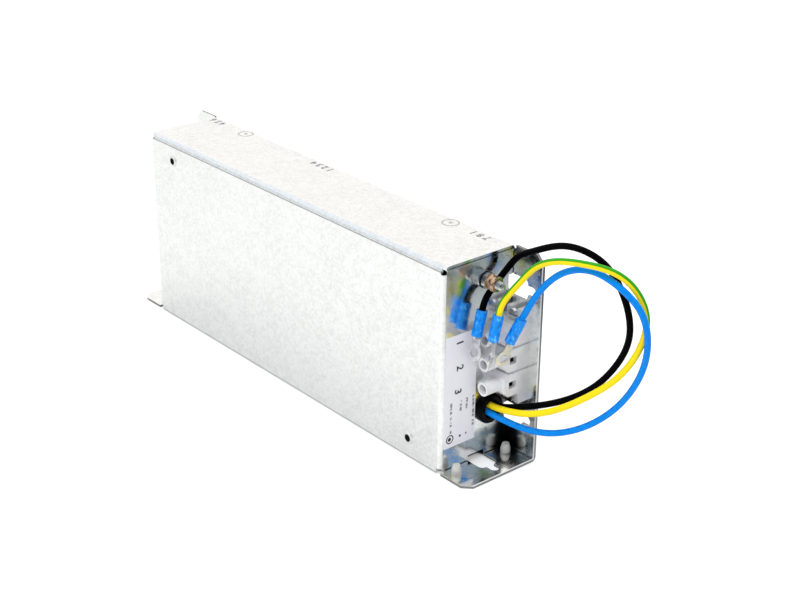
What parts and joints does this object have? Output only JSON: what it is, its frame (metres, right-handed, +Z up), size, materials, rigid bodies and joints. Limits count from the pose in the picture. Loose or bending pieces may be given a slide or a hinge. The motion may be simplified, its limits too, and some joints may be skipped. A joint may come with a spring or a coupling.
{
  "type": "emi line filter",
  "caption": "Chassis-mount mains EMI line filter: folded sheet-steel case with slotted foot and back leg, terminal strip, earth stud and flying leads with ring terminals.",
  "frame": {"origin": "under the middle of the case, on the plane of the foot, midway between the lid rivets and the back leg", "axes": "+X runs along the case towards the terminal end, +Y from the riveted lid to the back leg, +Z up from the foot"},
  "size_m": [0.3138, 0.0598, 0.1113],
  "materials": {
    "zinc_sheet": "folded galvanised sheet, bright",
    "lid_sheet": "folded galvanised sheet, pale",
    "rivet": "satin",
    "pin_steel": "bright",
    "label_film": "printed film",
    "black_rubber": "semi-gloss",
    "plated_steel": "zinc plated",
    "dark_steel": "blackened",
    "brass_nut": "bright",
    "strip_plastic": "moulded polyamide",
    "clamp_brass": "nickelled",
    "black_pvc": "glossy insulation",
    "yellow_green_pvc": "yellow with a green stripe",
    "blue_pvc": "glossy insulation",
    "blue_sleeve": "vinyl crimp sleeve",
    "tinned_copper": "tinned",
    "board_laminate": "solder-masked glass epoxy",
    "insulator_film": "polyester sheet",
    "ferrite": "coated ferrite",
    "enamelled_copper": "enamelled wire",
    "divider_plastic": "moulded",
    "x_cap_case": "moulded box",
    "y_cap_case": "moulded box",
    "resistor_body": "lacquered",
    "brown_pvc": "insulation"
  },
  "bodies": {
    "root": {"chassis": "zinc_sheet", "lid": "lid_sheet", "lid_rivets": "rivet", "foot_pins": "pin_steel", "label": "label_film", "grommet": "black_rubber", "earth_stud": "plated_steel", "earth_base_nut": "dark_steel", "earth_washers": "plated_steel", "earth_tooth_washer": "dark_steel", "earth_spring_washer": "plated_steel", "earth_nuts": "brass_nut", "terminal_strip": "strip_plastic", "terminal_barrels": "clamp_brass", "terminal_screws": "plated_steel", "strip_screws": "plated_steel", "black_lead": "black_pvc", "earth_lead": "yellow_green_pvc", "blue_lead": "blue_pvc", "black_sleeve": "blue_sleeve", "earth_sleeve": "blue_sleeve", "blue_sleeve": "blue_sleeve", "black_ring_tongue": "tinned_copper", "earth_ring_tongue": "tinned_copper", "blue_ring_tongue": "tinned_copper", "circuit_board": "board_laminate", "insulating_sheet": "insulator_film", "board_standoffs": "plated_steel", "board_screws": "plated_steel", "choke_a_core": "ferrite", "choke_a_line_winding": "enamelled_copper", "choke_a_neutral_winding": "enamelled_copper", "choke_a_divider": "divider_plastic", "choke_b_core": "ferrite", "choke_b_line_winding": "enamelled_copper", "choke_b_neutral_winding": "enamelled_copper", "choke_b_divider": "divider_plastic", "x_capacitor_a": "x_cap_case", "x_capacitor_b": "x_cap_case", "y_capacitors": "y_cap_case", "bleed_resistor": "resistor_body", "line_input_lead": "brown_pvc", "neutral_input_lead": "blue_pvc", "earth_input_lead": "yellow_green_pvc", "black_lead_tail": "black_pvc", "earth_lead_tail": "yellow_green_pvc", "blue_lead_tail": "blue_pvc"}
  },
  "joints": []
}
